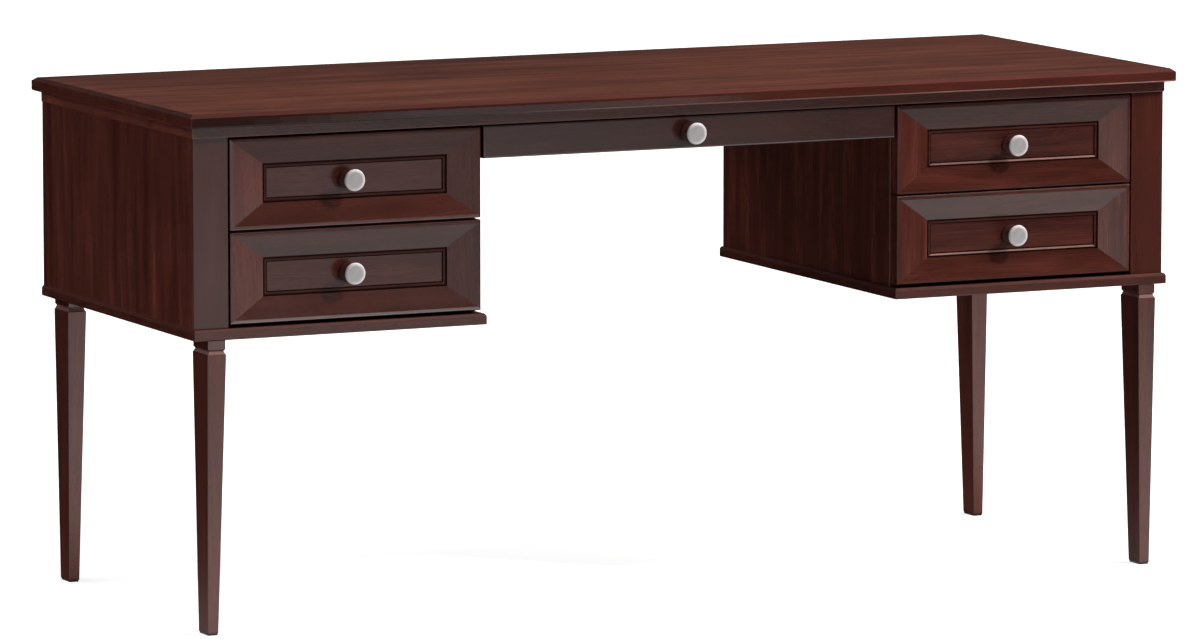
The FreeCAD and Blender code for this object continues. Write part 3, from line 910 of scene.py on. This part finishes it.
def dress_drawers(arris):
    # The grooves round the fields are painted dark: painted shade in the recess.
    groove = wood("groove_painted_shade_wood", "X", 0.032, 31, roughness=0.5, sheen=0.01)
    front_back = wood("front_back_wood", "X", 0.06, 32)
    for i, name in enumerate(PEDESTAL_DRAWERS):
        drawer_front(name, front_woods(name, i) | {"groove": groove, "back": front_back})
    # The centre front's dark value is partly painted shade under the desk top.
    board("centre_front", wood(
        "centre_front_wood", "X", 0.025, 83, sheen=0.09, tones=centre_painted_shade), arris, RAIL_ARRIS)
    knob_wood = wood(
        "knob_wood", "Y", 0.03, 33, contrast=0.7, green=0.3, blue=0.25, roughness=0.4, sheen=0.015)
    knob_metal = satin_metal("knob_metal")
    side_wood = bare_wood("drawer_side_wood", "Y", (0.46, 0.29, 0.15), 5)
    box_woods = {
        "left_side": side_wood, "right_side": side_wood,
        "back": bare_wood("drawer_back_wood", "X", (0.44, 0.27, 0.14), 6),
        "bottom": bare_wood("drawer_bottom_wood", "Y", (0.5, 0.33, 0.18), 7)}
    for name in DRAWERS:
        for part, material in box_woods.items():
            finish_node(f"{name}_{part}", material)
        knob(name, knob_wood, knob_metal)


# Floor, light and camera

FLOOR_SIZE = 120.0
FLOOR_CELLS = 24
LAMP_AIM = Vector((0.0, -0.25, 0.6))

# Name, direction from the desk, distance, size, and the share of white that a facing surface gets.
LAMPS = (
    ("key", (0.56, -0.50, 0.66), 7.0, 0.6, 1.2),
    ("side_box", (0.80, -0.15, 0.58), 20.0, 8.7, 1.5),
    ("front_fill", (0.0, -1.0, 0.08), 6.0, 3.0, 0.05),
    ("back_fill", (-0.75, 0.45, 0.48), 6.0, 3.0, 0.42))

# The camera fitted to the photo, with its angles in degrees and its lens and sensor in millimetres.
CAMERA_PLACE = (-5.322009, -11.19955, 1.982035)
CAMERA_DIP = 7.37
CAMERA_TURN = 25.36
CAMERA_LENS = 250.5
CAMERA_SENSOR = 36.0
CAMERA_REACH = 400.0


def light_path(tree):
    """Rays that show the backdrop: seen directly, and mirrored or seen through glass."""
    path = add(tree, "LightPath").outputs
    mirrored = add(tree, "Math", {
        0: path["Is Glossy Ray"], 1: path["Is Transmission Ray"]}, operation="ADD", use_clamp=True)
    return path["Is Camera Ray"], mirrored.outputs[0]


def floor_paper():
    """Pale paper with the object's shadow, white to the camera and mirrored as a pool of light."""
    material, tree = new_tree("floor_paper")
    place = object_place(tree)
    x, y = axes_of(tree, place, "XY")
    shade = ramp(tree, cloud_noise(tree, place, 60.0, 3.0), [
        (0.3, (0.36, 0.36, 0.36, 1.0)), (0.7, (0.39, 0.39, 0.39, 1.0))])
    paper = add(tree, "BsdfDiffuse", {"Color": shade, "Roughness": 0.4}).outputs[0]
    far_glow = span(tree, length_of(tree, place), 1.2, 5.0, 0.82, 1.0, smooth=True)
    glow = add(tree, "Emission", {"Color": WHITE, "Strength": far_glow}).outputs[0]
    seen = add(tree, "AddShader", {0: paper, 1: glow}).outputs[0]
    edge = plus(tree, x, span(tree, y, -3.9, -5.9, 0.0, -0.84))
    pool = times(
        tree, span(tree, edge, 1.8, 2.2, 1.0, 0.02, smooth=True),
        span(tree, y, 0.6, -0.5, 0.006, 1.0, smooth=True),
        span(tree, y, -1.0, -2.6, 1.0, 0.65, smooth=True))
    pale = add(tree, "Emission", {"Color": WHITE, "Strength": pool}).outputs[0]
    camera_ray, mirrored = light_path(tree)
    shader = add(tree, "MixShader", {0: mirrored, 1: paper, 2: pale}).outputs[0]
    shader = add(tree, "MixShader", {0: camera_ray, 1: shader, 2: seen}).outputs[0]
    clear = add(tree, "BsdfTransparent").outputs[0]
    below = add(tree, "NewGeometry").outputs["Backfacing"]
    shader = add(tree, "MixShader", {0: below, 1: shader, 2: clear}).outputs[0]
    finish_tree(tree, shader)
    return material


def make_floor():
    shape = bmesh.new()
    bmesh.ops.create_grid(shape, x_segments=FLOOR_CELLS, y_segments=FLOOR_CELLS, size=FLOOR_SIZE)
    floor = bpy.data.objects.new("floor", to_mesh(shape, "floor_mesh", [floor_paper()], smooth=False))
    bpy.context.scene.collection.objects.link(floor)


def make_world():
    """Dim near the horizon, brighter overhead and from the left; the camera sees white."""
    world = bpy.data.worlds.new("studio")
    world.use_nodes = True
    tree = world.node_tree
    tree.nodes.clear()
    way = add(tree, "TexCoord").outputs["Generated"]
    height = axes_of(tree, way, "Z")[0]
    left = add(tree, "VectorMath", {0: way, 1: (-0.8, 0.5, 0.3)}, operation="DOT_PRODUCT").outputs["Value"]
    soft = plus(tree, span(tree, height, 0.0, 1.0, 0.06, 0.35), span(tree, left, 0.0, 1.0, 0.0, 0.2))
    gloss = span(tree, height, 0.3, 0.95, 0.028, 0.8, smooth=True)
    camera_ray, mirrored = light_path(tree)
    strength = blend_values(tree, camera_ray, blend_values(tree, mirrored, soft, gloss), 1.0)
    background = add(tree, "Background", {"Color": WHITE, "Strength": strength})
    output = tree.nodes.new("ShaderNodeOutputWorld")
    tree.links.new(background.outputs[0], output.inputs["Surface"])
    bpy.context.scene.world = world


def lamp(name, towards, distance, size, level):
    """Square soft box in a direction from the desk."""
    direction = Vector(towards).normalized()
    light = bpy.data.lights.new(name, "AREA")
    light.shape = "SQUARE"
    light.size = size
    light.energy = level * pi * pi * distance * distance
    holder = bpy.data.objects.new(name, light)
    holder.location = LAMP_AIM + direction * distance
    holder.rotation_euler = direction.to_track_quat("Z", "Y").to_euler()
    holder.visible_camera = False
    holder.visible_glossy = False
    bpy.context.scene.collection.objects.link(holder)


def make_camera():
    data = bpy.data.cameras.new("camera")
    data.lens = CAMERA_LENS
    data.sensor_width = CAMERA_SENSOR
    data.clip_end = CAMERA_REACH
    camera = bpy.data.objects.new("camera", data)
    camera.location = CAMERA_PLACE
    camera.rotation_euler = (radians(90.0 - CAMERA_DIP), 0.0, radians(-CAMERA_TURN))
    bpy.context.scene.collection.objects.link(camera)
    bpy.context.scene.camera = camera


# The arris woods are rubbed lighter: partly wear and partly a painted highlight along the edges.
horizontal_arris = wood("arris_x", "X", 0.070, 41, wear_and_highlight=0.15)
upright_arris = wood("arris_z", "Z", 0.065, 43, wear_and_highlight=0.25)
dress_frame(horizontal_arris, upright_arris)
dress_drawers(horizontal_arris)
make_floor()
make_world()
for settings in LAMPS:
    lamp(*settings)
make_camera()
bpy.context.scene.view_settings.view_transform = "Standard"
